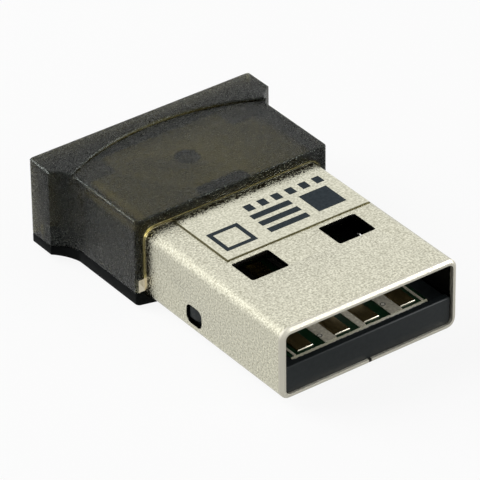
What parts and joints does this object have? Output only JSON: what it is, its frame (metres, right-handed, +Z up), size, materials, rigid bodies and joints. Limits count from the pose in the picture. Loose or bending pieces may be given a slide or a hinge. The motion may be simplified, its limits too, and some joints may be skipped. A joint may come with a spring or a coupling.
{
  "type": "usb bluetooth adapter",
  "caption": "Very short wireless adapter: a metal type A plug with a small smoky plastic cap that has a wider grip flange at its end.",
  "frame": {"origin": "under the middle of the adapter, on the plane of the cap's underside", "axes": "+Y along the plug's axis from the open end to the cap, +Z up, away from the side with the seam"},
  "size_m": [0.0154, 0.0214, 0.0059],
  "materials": {
    "nickel_shell": "satin nickel plate",
    "smoky_plastic": "translucent smoky grey-brown, gloss",
    "black_plastic": "opaque black, gloss",
    "holder_plastic": "dark slate, satin",
    "board_green": "green solder mask",
    "gold_contact": "gold plate",
    "tin": "dull tin",
    "label_film": "satin film",
    "chip_black": "matte",
    "can_metal": "satin",
    "ceramic_part": "matte",
    "led_lens": "milky"
  },
  "bodies": {
    "root": {"upper_housing": "smoky_plastic", "bottom_cover": "black_plastic", "usb_shell": "nickel_shell", "board_holder": "holder_plastic", "circuit_board": "board_green", "contact_1": "gold_contact", "contact_2": "gold_contact", "contact_3": "gold_contact", "contact_4": "gold_contact", "tinned_track_1": "tin", "tinned_track_2": "tin", "tinned_track_3": "tin", "edge_track_left": "tin", "edge_track_right": "tin", "label": "label_film", "radio_chip": "chip_black", "crystal": "can_metal", "memory_chip": "chip_black", "voltage_regulator": "chip_black", "radio_filter": "ceramic_part", "status_led": "led_lens", "led_resistor": "ceramic_part", "data_resistor_1": "ceramic_part", "data_resistor_2": "ceramic_part", "capacitor_1": "ceramic_part", "capacitor_2": "ceramic_part", "capacitor_3": "ceramic_part", "capacitor_4": "ceramic_part", "capacitor_5": "ceramic_part", "antenna": "gold_contact", "solder_left": "tin", "solder_right": "tin"}
  },
  "joints": []
}
